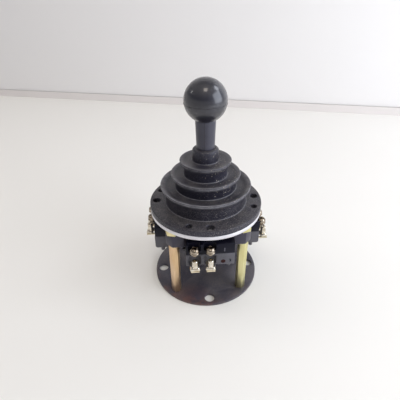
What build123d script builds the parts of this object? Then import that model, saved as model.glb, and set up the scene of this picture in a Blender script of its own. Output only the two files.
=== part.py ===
# Industrial joystick: a ball-topped lever in a stepped rubber boot works four contact blocks that
# hang round a square housing. Four hexagonal standoffs carry the housing over a round bottom plate.
# Millimetres, +Z up, -Y is the front, the lever's axis is the Z axis, Z is zero under the bottom plate.
import math
import os

from build123d import *

os.makedirs("parts", exist_ok=True)

# Fits
thread_clearance = 0.03
pin_clearance = 0.05
sliding_clearance = 0.25
housing_gap = 0.3

# Bottom plate and standoffs
standoff_circle = 43.0
standoff_offset = standoff_circle / math.sqrt(2)
plate_margin = 8.0
plate_radius = standoff_circle + plate_margin
plate_thickness = 2.5
plate_hole_radius = 4.6
plate_hole_inset = 7.5
plate_hole_circle = plate_radius - plate_hole_inset
standoff_flats = 8.0
standoff_length = 57.0
standoff_turn = 12.0
standoff_thread_depth = 12.0
plate_screw_radius = 2.0
plate_screw_head_radius = 4.0
plate_screw_length = 12.0
stud_radius = 2.5
stud_length = 19.5

# Housing
standoff_inset = 6.4
housing_half = standoff_offset + standoff_inset
housing_corner = 5.5
housing_bottom = plate_thickness + standoff_length
housing_height = 12.2
housing_top = housing_bottom + housing_height
well_foot_chamfer = 2.5
plateau_radius = 37.5
boss_radius = 29.3
boss_rise = 3.0

# Mounting ring
spacer_height = 4.8
spacer_flats = 12.0
ring_bottom = housing_top + spacer_height
ring_thickness = 3.6
ring_top = ring_bottom + ring_thickness
ring_margin = 7.0
ring_radius = standoff_circle + ring_margin
ring_bore = boss_radius + housing_gap
ring_stud_depth = 2.9
panel_hole_inset = 6.0
panel_hole_circle = ring_radius - panel_hole_inset
panel_hole_radius = 3.4
second_hole_radius = 2.7
second_hole_turn = -22.5

# Rubber boot: flange, then three tiers of wall, rim and dish, then the collar
boot_flange_thickness = 5.1
boot_flange_top = ring_top + boot_flange_thickness
boot_skin = 1.8
tier_wall_radius = [36.0, 26.7, 18.8]
tier_rim_radius = [39.8, 30.2, 22.1]
tier_rise = [16.9, 10.2, 12.2]
tier_dish_depth = [2.8, 1.6, 0.9]
tier_flare_height = 7.0
rim_edge = 1.4
collar_radius = 11.1
collar_rise = 10.1
tier_rim_height = [boot_flange_top + sum(tier_rise[: index + 1]) for index in range(len(tier_rise))]
tier_dish_height = [rim - depth for rim, depth in zip(tier_rim_height, tier_dish_depth)]
collar_top = tier_rim_height[-1] + collar_rise

# Gimbal and lever
pivot_rise = 8.5
pivot_height = housing_bottom + pivot_rise
tilt_limit = 15.0
gimbal_outer_radius = 13.5
gimbal_wall = 4.0
gimbal_inner_radius = gimbal_outer_radius - gimbal_wall
gimbal_height = 8.0
gimbal_pin_radius = 2.0
well_gap = 1.5
well_radius = gimbal_outer_radius + well_gap
outer_pin_setback = 0.5
outer_pin_start = gimbal_inner_radius + outer_pin_setback
outer_pin_grip = 7.0
outer_pin_end = well_radius + outer_pin_grip
shaft_radius = 5.0
shaft_end_radius = 4.0
shaft_foot_chamfer = 1.0
actuator_drop = 6.5
actuator_height = housing_bottom - actuator_drop
actuator_radius = 12.0
actuator_half_width = 4.5
clip_thickness = 1.2
clip_radius = 6.5
clip_groove_radius = 3.4
clip_slot = 5.0

# Sleeve, ball and what clamps them
collar_grip = 13.6
sleeve_bottom = collar_top - collar_grip
sleeve_length = 37.6
sleeve_top = sleeve_bottom + sleeve_length
sleeve_radius = 7.6
sleeve_top_radius = 8.4
ball_radius = 17.0
ball_flat_depth = 14.4
ball_height = sleeve_top + ball_flat_depth
insert_radius = 6.5
insert_length = 13.4
insert_floor = 0.8
lock_nut_height = 5.0
lock_nut_flats = 17.0
cup_thickness = 2.5
cup_radius = 13.5
cup_hub_radius = 8.0
cup_hub_length = 6.5

# Return spring
spring_wire_radius = 1.0
spring_base_radius = 19.0
spring_head_radius = 11.0
spring_turns = 4.5

# Gate plate under the housing
gate_half = 23.0
gate_thickness = 2.5
gate_post_length = 14.0
gate_bottom = housing_bottom - gate_post_length - gate_thickness
gate_opening_half = 11.6
gate_opening_corner = 3.0
gate_post_offset = 18.0
gate_spacer_radius = 3.2
gate_screw_radius = 1.5
gate_screw_head_radius = 2.75
gate_screw_head_height = 2.2
gate_screw_grip = 7.5
foot_reach = 3.0
shaft_foot = gate_bottom - foot_reach

# Terminal columns, bridge and small spring across a block, measured from its left side
block_half_width = 20.5
column_margin = 7.2
column_pitch = 13.0
column_left = column_margin - block_half_width
column_right = column_left + column_pitch
bridge_overhang = 2.5
bridge_left = column_left - bridge_overhang
bridge_right = column_right + bridge_overhang
contact_spring_radius = 1.5
contact_spring_wire = 0.3
contact_spring_turns = 5.0
contact_spring_gap = 0.12
contact_spring_room = 3.0
plunger_half_width = 5.0
contact_spring_offset = 0.2
contact_spring_across = max(bridge_right + contact_spring_room, plunger_half_width + contact_spring_offset)

# Plungers and moving contacts
plunger_half_height = 3.5
plunger_gap = 0.35
plunger_floor_gap = 1.0
plunger_end = 36.0
plunger_flange_start = 33.0
plunger_flange_end = 35.0
plunger_flange_margin = 2.0
plunger_flange_half_width = max(
    plunger_half_width + plunger_flange_margin,
    contact_spring_across + contact_spring_radius + contact_spring_wire,
)
plunger_flange_lip = 0.3
plunger_flange_rise = 5.0
plunger_flange_bottom = actuator_height - plunger_half_height - plunger_flange_lip
plunger_flange_top = actuator_height + plunger_flange_rise

# Contact blocks, drawn for the front side and turned to the other three
block_inner = 26.0
block_face = 47.3
block_floor = 1.8
block_bottom = actuator_height - plunger_half_height - plunger_floor_gap - block_floor
block_split = housing_bottom
cover_headroom = 1.8
block_cover_height = housing_height - cover_headroom
block_top = block_split + block_cover_height
block_corner = 2.0
cover_setback = 0.4
block_wall = 2.0
chamber_wall = 4.0
chamber_left = chamber_wall - block_half_width
flange_side_gap = 2.5
chamber_right = plunger_flange_half_width + flange_side_gap
base_chamber_face = 43.0
cover_chamber_face = 41.5
cover_roof = 3.5
cover_chamber_top = block_top - cover_roof
bay_half_width = 5.0
cover_bay_back = 43.8
base_bay_back = 44.6
base_bay_lip = 1.5
base_bay_top = block_split - base_bay_lip
peg_radius = 1.8
peg_length = 5.2
peg_margin = 4.0
peg_across = block_half_width - peg_margin
peg_out = 41.0
locator_radius = 1.2
locator_rise = 2.2
locator_margin = 2.1
locator_across = locator_margin - block_half_width
block_screw_margin = 5.5
block_screw_across = block_half_width - block_screw_margin
block_screw_out = 31.5
block_screw_radius = 1.5
block_screw_head_radius = 2.75
block_screw_head_height = 2.4
block_screw_reach = 5.0

# Terminals
tab_width = 7.0
tab_thickness = 1.0
upper_tab_rise = 4.0
upper_tab_bottom = block_split + upper_tab_rise
upper_tab_end = 51.8
upper_screw_out = 49.0
lower_tab_bottom = block_bottom + block_floor
lower_tab_end = 56.2
lower_screw_out = 52.6
terminal_screw_radius = 1.75
upper_head_radius = 3.6
upper_head_height = 3.6
washer_radius = 4.15
washer_thickness = 1.2
upper_shank_below = 3.2
lower_barrel_radius = 2.8
lower_barrel_height = 6.4
clamp_width = 8.6
clamp_thickness = 2.6
clamp_corner = 1.6
lower_shank_below = 3.0
driver_slot_width = 1.0
driver_slot_depth = 1.2

# Moving bridge and fixed contact legs
bridge_thickness = 0.8
bridge_bottom = actuator_height
bridge_rise = 2.5
bridge_top = block_split + bridge_rise
leg_width = 6.0
leg_thickness = 1.0
upper_leg_face = 30.8
upper_leg_drop = 1.5
upper_leg_bottom = block_split - upper_leg_drop
lower_leg_face = 40.0
lower_leg_drop = 2.5
lower_leg_top = block_split - lower_leg_drop

side_names = ["front", "right", "rear", "left"]
corner_names = ["front_left", "front_right", "rear_right", "rear_left"]
column_positions = [column_left, column_right]
chamber_middle = (chamber_left + chamber_right) / 2
chamber_width = chamber_right - chamber_left


# Bottom plate
with BuildPart() as base_plate:
    with BuildSketch(Plane.XY):
        Circle(plate_radius)
        with PolarLocations(plate_hole_circle, 4):
            Circle(plate_hole_radius, mode=Mode.SUBTRACT)
    extrude(amount=plate_thickness)
    with BuildSketch(Plane.XY):
        with PolarLocations(standoff_circle, 4, start_angle=45):
            Circle(plate_screw_radius + pin_clearance)
    extrude(amount=plate_thickness, mode=Mode.SUBTRACT)
    with PolarLocations(standoff_circle, 4, start_angle=45):
        Cone(
            plate_screw_head_radius + pin_clearance,
            plate_screw_radius + pin_clearance,
            plate_screw_head_radius - plate_screw_radius,
            align=(Align.CENTER, Align.CENTER, Align.MIN),
            mode=Mode.SUBTRACT,
        )
base_plate.part.label = "base_plate"
export_step(base_plate.part, "parts/base_plate.step")

# Countersunk screws from under the plate into the standoffs
with BuildPart() as plate_screws:
    with PolarLocations(standoff_circle, 4, start_angle=45):
        Cone(
            plate_screw_head_radius,
            plate_screw_radius,
            plate_screw_head_radius - plate_screw_radius,
            align=(Align.CENTER, Align.CENTER, Align.MIN),
        )
        Cylinder(plate_screw_radius, plate_screw_length, align=(Align.CENTER, Align.CENTER, Align.MIN))
plate_screws.part.label = "plate_screws"
export_step(plate_screws.part, "parts/plate_screws.step")

# Standoffs, one hexagonal bar with a stud on top at each corner
with BuildPart() as standoff:
    with BuildSketch(Plane.XY.offset(plate_thickness)):
        with Locations((-standoff_offset, -standoff_offset)):
            RegularPolygon(standoff_flats / 2, 6, major_radius=False, rotation=standoff_turn)
    extrude(amount=standoff_length)
    with BuildSketch(Plane.XY.offset(plate_thickness)):
        with Locations((-standoff_offset, -standoff_offset)):
            Circle(plate_screw_radius + thread_clearance)
    extrude(amount=standoff_thread_depth, mode=Mode.SUBTRACT)
    with BuildSketch(Plane.XY.offset(housing_bottom)):
        with Locations((-standoff_offset, -standoff_offset)):
            Circle(stud_radius)
    extrude(amount=stud_length)
for index, corner in enumerate(corner_names):
    turned = standoff.part.rotate(Axis.Z, 90 * index)
    turned.label = "standoff_" + corner
    export_step(turned, "parts/standoff_" + corner + ".step")

# Hexagonal spacers between housing and mounting ring
with BuildPart() as hex_spacers:
    with BuildSketch(Plane.XY.offset(housing_top)):
        with PolarLocations(standoff_circle, 4, start_angle=45):
            RegularPolygon(spacer_flats / 2, 6, major_radius=False)
            Circle(stud_radius + pin_clearance, mode=Mode.SUBTRACT)
    extrude(amount=spacer_height)
hex_spacers.part.label = "hex_spacers"
export_step(hex_spacers.part, "parts/hex_spacers.step")

# Housing: square moulding with a well for the gimbal and a recess on each side for a contact block
with BuildPart() as housing:
    with BuildSketch(Plane.XY.offset(housing_bottom)):
        Rectangle(2 * housing_half, 2 * housing_half)
        chamfer(vertices(), housing_corner)
    extrude(amount=housing_height)
    with BuildSketch(Plane.XY.offset(housing_bottom)):
        with PolarLocations(block_inner - housing_gap, 4):
            Rectangle(
                housing_half,
                2 * (block_half_width + housing_gap),
                align=(Align.MIN, Align.CENTER),
            )
    extrude(amount=block_top + housing_gap - housing_bottom, mode=Mode.SUBTRACT)
    with BuildSketch(Plane.XY.offset(housing_top)):
        Circle(plateau_radius)
        with PolarLocations(standoff_circle, 4, start_angle=45):
            RegularPolygon(spacer_flats / 2 + housing_gap, 6, major_radius=False, mode=Mode.SUBTRACT)
    extrude(amount=spacer_height)
    with BuildSketch(Plane.XY.offset(ring_bottom)):
        Circle(boss_radius)
    extrude(amount=boss_rise)
    with BuildSketch(Plane.XY.offset(housing_bottom)):
        Circle(well_radius)
    extrude(amount=ring_bottom + boss_rise - housing_bottom, mode=Mode.SUBTRACT)
    with Locations((0, 0, housing_bottom)):
        Cone(
            well_radius + well_foot_chamfer,
            well_radius,
            well_foot_chamfer,
            align=(Align.CENTER, Align.CENTER, Align.MIN),
            mode=Mode.SUBTRACT,
        )
    with BuildSketch(Plane.XY.offset(housing_bottom)):
        with PolarLocations(standoff_circle, 4, start_angle=45):
            Circle(stud_radius + pin_clearance)
    extrude(amount=housing_height, mode=Mode.SUBTRACT)
    with BuildSketch(Plane.XY.offset(housing_bottom)):
        with GridLocations(2 * gate_post_offset, 2 * gate_post_offset, 2, 2):
            Circle(gate_screw_radius + thread_clearance)
    extrude(amount=gate_screw_grip + sliding_clearance, mode=Mode.SUBTRACT)
    with BuildSketch(Plane.XY.offset(block_top)):
        for index in range(4):
            with Locations(Rot(0, 0, 90 * index) * Pos(block_screw_across, -block_screw_out)):
                Circle(block_screw_radius + thread_clearance)
            with Locations(Rot(0, 0, 90 * index) * Pos(locator_across, -block_screw_out)):
                Circle(locator_radius + sliding_clearance)
    extrude(amount=block_screw_reach + sliding_clearance, mode=Mode.SUBTRACT)
    with BuildSketch(Plane.YZ.offset(-block_inner)):
        with Locations((0, pivot_height)):
            Circle(gimbal_pin_radius + thread_clearance)
    extrude(amount=2 * block_inner, mode=Mode.SUBTRACT)
housing.part.label = "housing"
export_step(housing.part, "parts/housing.step")

# Metal mounting ring with two sets of four holes and blind threads for the studs
with BuildPart() as mounting_ring:
    with BuildSketch(Plane.XY.offset(ring_bottom)):
        Circle(ring_radius)
        Circle(ring_bore, mode=Mode.SUBTRACT)
        with PolarLocations(panel_hole_circle, 4):
            Circle(panel_hole_radius, mode=Mode.SUBTRACT)
        with PolarLocations(panel_hole_circle, 4, start_angle=second_hole_turn):
            Circle(second_hole_radius, mode=Mode.SUBTRACT)
    extrude(amount=ring_thickness)
    with BuildSketch(Plane.XY.offset(ring_bottom)):
        with PolarLocations(standoff_circle, 4, start_angle=45):
            Circle(stud_radius + thread_clearance)
    extrude(amount=ring_stud_depth, mode=Mode.SUBTRACT)
mounting_ring.part.label = "mounting_ring"
export_step(mounting_ring.part, "parts/mounting_ring.step")

# Rubber boot, turned from one outline, with the ring's holes repeated in its flange
outer_outline = [(ring_radius, ring_top), (ring_radius, boot_flange_top)]
inner_outline = [(tier_wall_radius[0] - boot_skin, ring_top)]
wall_foot = boot_flange_top
for wall, rim, rim_top, dish in zip(tier_wall_radius, tier_rim_radius, tier_rim_height, tier_dish_height):
    outer_outline.append((wall + rim_edge / 2, wall_foot))
    outer_outline.append((wall, wall_foot + rim_edge / 2))
    outer_outline.append((wall, rim_top - tier_flare_height))
    outer_outline.append((rim - rim_edge / 7, rim_top - rim_edge))
    outer_outline.append((rim, rim_top - rim_edge / 2))
    outer_outline.append((rim - rim_edge / 4, rim_top))
    outer_outline.append((rim - 3 * rim_edge / 4, rim_top))
    outer_outline.append((rim - (rim - wall) * 2 - rim_edge / 2, dish))
    inner_outline.append((wall - boot_skin, rim_top - tier_flare_height + boot_skin / 2))
    inner_outline.append((rim - 2 * boot_skin, dish - boot_skin))
    wall_foot = dish
outer_outline.append((collar_radius + rim_edge / 2, wall_foot))
outer_outline.append((collar_radius, wall_foot + rim_edge / 2))
outer_outline.append((collar_radius, collar_top - boot_skin))
outer_outline.append((collar_radius - boot_skin / 3, collar_top - boot_skin / 3))
outer_outline.append((collar_radius - boot_skin, collar_top))
outer_outline.append((sleeve_radius + thread_clearance, collar_top))
outer_outline.append((sleeve_radius + thread_clearance, wall_foot - boot_skin))
lower_walls = tier_wall_radius[1:] + [sleeve_radius + thread_clearance + boot_skin]
inner_path = [inner_outline[0]]
for index, wall in enumerate(lower_walls):
    inner_path.append(inner_outline[1 + 2 * index])
    inner_path.append(inner_outline[2 + 2 * index])
    if index < len(lower_walls) - 1:
        inner_path.append((wall - boot_skin, tier_dish_height[index] - boot_skin))
with BuildPart() as rubber_boot:
    with BuildSketch(Plane.XZ):
        with BuildLine():
            Polyline(outer_outline + inner_path[::-1], close=True)
        make_face()
    revolve(axis=Axis.Z)
    with BuildSketch(Plane.XY.offset(ring_top)):
        with PolarLocations(panel_hole_circle, 4):
            Circle(panel_hole_radius)
        with PolarLocations(panel_hole_circle, 4, start_angle=second_hole_turn):
            Circle(second_hole_radius)
    extrude(amount=boot_flange_thickness, mode=Mode.SUBTRACT)
rubber_boot.part.label = "rubber_boot"
export_step(rubber_boot.part, "parts/rubber_boot.step")

# Gimbal ring, the pins that carry it in the housing and the pin that carries the lever in it
with BuildPart() as gimbal_ring:
    with BuildSketch(Plane.XY.offset(pivot_height - gimbal_height / 2)):
        Circle(gimbal_outer_radius)
        Circle(gimbal_inner_radius, mode=Mode.SUBTRACT)
    extrude(amount=gimbal_height)
    for hole_plane in (Plane.YZ, Plane.XZ):
        with BuildSketch(hole_plane.offset(-gimbal_outer_radius)):
            with Locations((0, pivot_height)):
                Circle(gimbal_pin_radius + pin_clearance)
        extrude(amount=2 * gimbal_outer_radius, mode=Mode.SUBTRACT)
gimbal_ring.part.label = "gimbal_ring"
export_step(gimbal_ring.part, "parts/gimbal_ring.step")

with BuildPart() as gimbal_outer_pins:
    with BuildSketch(Plane.YZ.offset(outer_pin_start)):
        with Locations((0, pivot_height)):
            Circle(gimbal_pin_radius)
    extrude(amount=outer_pin_end - outer_pin_start)
    mirror(about=Plane.YZ)
gimbal_outer_pins.part.label = "gimbal_outer_pins"
export_step(gimbal_outer_pins.part, "parts/gimbal_outer_pins.step")

with BuildPart() as gimbal_inner_pin:
    with BuildSketch(Plane.XZ.offset(-(gimbal_outer_radius - sliding_clearance))):
        with Locations((0, pivot_height)):
            Circle(gimbal_pin_radius)
    extrude(amount=2 * (gimbal_outer_radius - sliding_clearance))
gimbal_inner_pin.part.label = "gimbal_inner_pin"
export_step(gimbal_inner_pin.part, "parts/gimbal_inner_pin.step")

# Lever shaft, stepped at both ends, grooved for the retaining clip and cross-drilled for the pin
actuator_top = actuator_height + actuator_half_width
actuator_bottom = actuator_height - actuator_half_width
with BuildPart() as lever_shaft:
    with BuildSketch(Plane.XY.offset(shaft_foot)):
        Circle(shaft_end_radius)
    extrude(amount=actuator_top - shaft_foot)
    foot_edge = lever_shaft.edges().filter_by(GeomType.CIRCLE).sort_by(Axis.Z)[0]
    chamfer(foot_edge, shaft_foot_chamfer)
    with BuildSketch(Plane.XY.offset(actuator_top)):
        Circle(shaft_radius)
    extrude(amount=sleeve_top - actuator_top)
    with BuildSketch(Plane.XY.offset(sleeve_top)):
        Circle(shaft_end_radius)
    extrude(amount=insert_length - insert_floor - sliding_clearance)
    with BuildSketch(Plane.XY.offset(actuator_bottom - clip_thickness)):
        Circle(shaft_radius)
        Circle(clip_groove_radius, mode=Mode.SUBTRACT)
    extrude(amount=clip_thickness, mode=Mode.SUBTRACT)
    with BuildSketch(Plane.XZ.offset(-shaft_radius)):
        with Locations((0, pivot_height)):
            Circle(gimbal_pin_radius + thread_clearance)
    extrude(amount=2 * shaft_radius, mode=Mode.SUBTRACT)
lever_shaft.part.label = "lever_shaft"
export_step(lever_shaft.part, "parts/lever_shaft.step")

# Barrel-shaped actuator on the shaft's foot and the clip under it
with BuildPart() as actuator:
    with Locations((0, 0, actuator_height)):
        Sphere(actuator_radius)
        Box(2 * actuator_radius, 2 * actuator_radius, 2 * actuator_half_width, mode=Mode.INTERSECT)
        Cylinder(shaft_end_radius + thread_clearance, 2 * actuator_half_width, mode=Mode.SUBTRACT)
actuator.part.label = "actuator"
export_step(actuator.part, "parts/actuator.step")

with BuildPart() as actuator_clip:
    with BuildSketch(Plane.XY.offset(actuator_bottom - clip_thickness)):
        Circle(clip_radius)
        Circle(clip_groove_radius + thread_clearance, mode=Mode.SUBTRACT)
        Rectangle(clip_slot, clip_radius, align=(Align.CENTER, Align.MIN), mode=Mode.SUBTRACT)
    extrude(amount=clip_thickness)
actuator_clip.part.label = "actuator_clip"
export_step(actuator_clip.part, "parts/actuator_clip.step")

# Sleeve over the shaft between boot collar and ball
with BuildPart() as lever_sleeve:
    with BuildSketch(Plane.XZ):
        with BuildLine():
            Polyline(
                (shaft_radius + thread_clearance, sleeve_bottom),
                (sleeve_radius, sleeve_bottom),
                (sleeve_radius, collar_top),
                (sleeve_top_radius, sleeve_top),
                (shaft_radius + thread_clearance, sleeve_top),
                close=True,
            )
        make_face()
    revolve(axis=Axis.Z)
lever_sleeve.part.label = "lever_sleeve"
export_step(lever_sleeve.part, "parts/lever_sleeve.step")

# Ball knob, flat underneath, over a threaded insert
with BuildPart() as ball_knob:
    with Locations((0, 0, ball_height)):
        Sphere(ball_radius)
    with Locations((0, 0, sleeve_top)):
        Box(
            2 * ball_radius,
            2 * ball_radius,
            ball_radius,
            align=(Align.CENTER, Align.CENTER, Align.MAX),
            mode=Mode.SUBTRACT,
        )
        Cylinder(
            insert_radius,
            insert_length,
            align=(Align.CENTER, Align.CENTER, Align.MIN),
            mode=Mode.SUBTRACT,
        )
ball_knob.part.label = "ball_knob"
export_step(ball_knob.part, "parts/ball_knob.step")

with BuildPart() as knob_insert:
    with BuildSketch(Plane.XY.offset(sleeve_top)):
        Circle(insert_radius)
    extrude(amount=insert_length)
    with BuildSketch(Plane.XY.offset(sleeve_top)):
        Circle(shaft_end_radius + thread_clearance)
    extrude(amount=insert_length - insert_floor, mode=Mode.SUBTRACT)
knob_insert.part.label = "knob_insert"
export_step(knob_insert.part, "parts/knob_insert.step")

# Lock nut and spring cup on the shaft inside the boot
cup_top = sleeve_bottom - lock_nut_height
cup_bottom = cup_top - cup_thickness
with BuildPart() as lock_nut:
    with BuildSketch(Plane.XY.offset(cup_top)):
        RegularPolygon(lock_nut_flats / 2, 6, major_radius=False)
        Circle(shaft_radius + thread_clearance, mode=Mode.SUBTRACT)
    extrude(amount=lock_nut_height)
lock_nut.part.label = "lock_nut"
export_step(lock_nut.part, "parts/lock_nut.step")

with BuildPart() as spring_cup:
    with BuildSketch(Plane.XY.offset(cup_bottom)):
        Circle(cup_radius)
    extrude(amount=cup_thickness)
    with BuildSketch(Plane.XY.offset(cup_bottom)):
        Circle(cup_hub_radius)
    extrude(amount=-cup_hub_length)
    with BuildSketch(Plane.XY.offset(cup_top)):
        Circle(shaft_radius + thread_clearance)
    extrude(amount=-(cup_thickness + cup_hub_length), mode=Mode.SUBTRACT)
spring_cup.part.label = "spring_cup"
export_step(spring_cup.part, "parts/spring_cup.step")

# Conical return spring between the housing's boss and the cup
spring_foot = ring_bottom + boss_rise + spring_wire_radius + thread_clearance
spring_height = cup_bottom - spring_wire_radius - thread_clearance - spring_foot
spring_cone = math.degrees(math.atan2(spring_head_radius - spring_base_radius, spring_height))
with BuildPart() as return_spring:
    with BuildLine():
        coil = Helix(
            pitch=spring_height / spring_turns,
            height=spring_height,
            radius=spring_base_radius,
            center=(0, 0, spring_foot),
            cone_angle=spring_cone,
        )
    with BuildSketch(Plane(origin=coil @ 0, z_dir=coil % 0)):
        RegularPolygon(spring_wire_radius, 8)
    sweep(is_frenet=True)
return_spring.part.label = "return_spring"
export_step(return_spring.part, "parts/return_spring.step")

# Gate plate that stops the lever's foot, with its spacers and screws
spacer_bottom = gate_bottom + gate_thickness
with BuildPart() as gate_plate:
    with BuildSketch(Plane.XY.offset(gate_bottom)):
        Rectangle(2 * gate_half, 2 * gate_half)
        RectangleRounded(2 * gate_opening_half, 2 * gate_opening_half, gate_opening_corner, mode=Mode.SUBTRACT)
        with GridLocations(2 * gate_post_offset, 2 * gate_post_offset, 2, 2):
            Circle(gate_screw_radius + pin_clearance, mode=Mode.SUBTRACT)
    extrude(amount=gate_thickness)
gate_plate.part.label = "gate_plate"
export_step(gate_plate.part, "parts/gate_plate.step")

with BuildPart() as gate_spacers:
    with BuildSketch(Plane.XY.offset(spacer_bottom)):
        with GridLocations(2 * gate_post_offset, 2 * gate_post_offset, 2, 2):
            Circle(gate_spacer_radius)
            Circle(gate_screw_radius + pin_clearance, mode=Mode.SUBTRACT)
    extrude(amount=housing_bottom - spacer_bottom)
gate_spacers.part.label = "gate_spacers"
export_step(gate_spacers.part, "parts/gate_spacers.step")

with BuildPart() as gate_screws:
    with BuildSketch(Plane.XY.offset(gate_bottom)):
        with GridLocations(2 * gate_post_offset, 2 * gate_post_offset, 2, 2):
            Circle(gate_screw_head_radius)
    extrude(amount=-gate_screw_head_height)
    with BuildSketch(Plane.XY.offset(gate_bottom)):
        with GridLocations(2 * gate_post_offset, 2 * gate_post_offset, 2, 2):
            Circle(gate_screw_radius)
    extrude(amount=housing_bottom + gate_screw_grip - gate_bottom)
gate_screws.part.label = "gate_screws"
export_step(gate_screws.part, "parts/gate_screws.step")

# Contact block base, the grey lower half, open on top and cut for plunger, tabs and screw
with BuildPart() as contact_base:
    with BuildSketch(Plane.XY.offset(block_bottom)):
        with Locations((0, -block_inner)):
            Rectangle(2 * block_half_width, block_face - block_inner, align=(Align.CENTER, Align.MAX))
    extrude(amount=block_split - block_bottom)
    lower_edge = contact_base.edges().filter_by(Axis.X).group_by(Axis.Z)[0].sort_by(Axis.Y)[0]
    fillet(lower_edge, block_corner)
    with BuildSketch(Plane.XY.offset(block_bottom + block_floor)):
        with Locations((chamber_middle, -block_inner - block_wall)):
            Rectangle(
                chamber_width,
                base_chamber_face - block_inner - block_wall,
                align=(Align.CENTER, Align.MAX),
            )
    extrude(amount=block_split - block_bottom, mode=Mode.SUBTRACT)
    with Locations((0, -block_inner - block_wall, actuator_height)):
        Box(
            2 * (plunger_half_width + sliding_clearance),
            2 * block_wall,
            2 * (plunger_half_height + sliding_clearance),
            mode=Mode.SUBTRACT,
        )
    for across in column_positions:
        with Locations((across, -base_bay_back, lower_tab_bottom + tab_thickness)):
            Box(
                2 * bay_half_width,
                block_face - base_bay_back,
                base_bay_top - lower_tab_bottom - tab_thickness,
                align=(Align.CENTER, Align.MAX, Align.MIN),
                mode=Mode.SUBTRACT,
            )
        with Locations((across, -base_chamber_face, lower_tab_bottom)):
            Box(
                tab_width + 2 * thread_clearance,
                block_face - base_chamber_face,
                tab_thickness,
                align=(Align.CENTER, Align.MAX, Align.MIN),
                mode=Mode.SUBTRACT,
            )
    with BuildSketch(Plane.XY.offset(block_bottom)):
        with Locations((block_screw_across, -block_screw_out)):
            Circle(block_screw_radius + pin_clearance)
    extrude(amount=block_split - block_bottom, mode=Mode.SUBTRACT)
    with BuildSketch(Plane.XY.offset(block_bottom)):
        with Locations((peg_across, -peg_out), (-peg_across, -peg_out)):
            Circle(peg_radius)
    extrude(amount=-peg_length)

# Contact block cover, the black upper half, with a bay over each upper terminal
with BuildPart() as contact_cover:
    with BuildSketch(Plane.XY.offset(block_split)):
        with Locations((0, -block_inner)):
            Rectangle(
                2 * block_half_width,
                block_face - cover_setback - block_inner,
                align=(Align.CENTER, Align.MAX),
            )
    extrude(amount=block_top - block_split)
    with BuildSketch(Plane.XY.offset(block_split)):
        with Locations((chamber_middle, -block_inner - block_wall)):
            Rectangle(
                chamber_width,
                cover_chamber_face - block_inner - block_wall,
                align=(Align.CENTER, Align.MAX),
            )
    extrude(amount=cover_chamber_top - block_split, mode=Mode.SUBTRACT)
    for across in column_positions:
        with Locations((across, -cover_bay_back, upper_tab_bottom)):
            Box(
                2 * bay_half_width,
                block_face - cover_bay_back,
                block_top - upper_tab_bottom,
                align=(Align.CENTER, Align.MAX, Align.MIN),
                mode=Mode.SUBTRACT,
            )
        with Locations((across, -cover_chamber_face, upper_tab_bottom)):
            Box(
                tab_width + 2 * thread_clearance,
                cover_bay_back - cover_chamber_face,
                tab_thickness,
                align=(Align.CENTER, Align.MAX, Align.MIN),
                mode=Mode.SUBTRACT,
            )
    with BuildSketch(Plane.XY.offset(block_split)):
        with Locations((block_screw_across, -block_screw_out)):
            Circle(block_screw_radius + pin_clearance)
    extrude(amount=block_top - block_split, mode=Mode.SUBTRACT)
    with BuildSketch(Plane.XY.offset(block_top)):
        with Locations((locator_across, -block_screw_out)):
            Circle(locator_radius)
    extrude(amount=locator_rise)

# Terminal strips: each tab runs in through the wall and turns up or down to a fixed contact
with BuildPart() as terminal_strips:
    for across in column_positions:
        with Locations((across, -upper_leg_face + leg_thickness, upper_tab_bottom)):
            Box(
                leg_width,
                cover_chamber_face - upper_leg_face + leg_thickness,
                tab_thickness,
                align=(Align.CENTER, Align.MAX, Align.MIN),
            )
        with Locations((across, -cover_chamber_face, upper_tab_bottom)):
            Box(
                tab_width,
                upper_tab_end - cover_chamber_face,
                tab_thickness,
                align=(Align.CENTER, Align.MAX, Align.MIN),
            )
        with Locations((across, -upper_leg_face + leg_thickness, upper_leg_bottom)):
            Box(
                leg_width,
                leg_thickness,
                upper_tab_bottom - upper_leg_bottom,
                align=(Align.CENTER, Align.MAX, Align.MIN),
            )
        with Locations((across, -lower_leg_face, lower_tab_bottom)):
            Box(
                leg_width,
                leg_thickness,
                lower_leg_top - lower_tab_bottom,
                align=(Align.CENTER, Align.MAX, Align.MIN),
            )
            Box(
                leg_width,
                base_chamber_face - lower_leg_face,
                tab_thickness,
                align=(Align.CENTER, Align.MAX, Align.MIN),
            )
        with Locations((across, -base_chamber_face, lower_tab_bottom)):
            Box(
                tab_width,
                lower_tab_end - base_chamber_face,
                tab_thickness,
                align=(Align.CENTER, Align.MAX, Align.MIN),
            )
    with BuildSketch(Plane.XY.offset(lower_tab_bottom)):
        for across in column_positions:
            with Locations((across, -lower_screw_out), (across, -upper_screw_out)):
                Circle(terminal_screw_radius + thread_clearance)
    extrude(amount=upper_tab_bottom + tab_thickness - lower_tab_bottom, mode=Mode.SUBTRACT)

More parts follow.
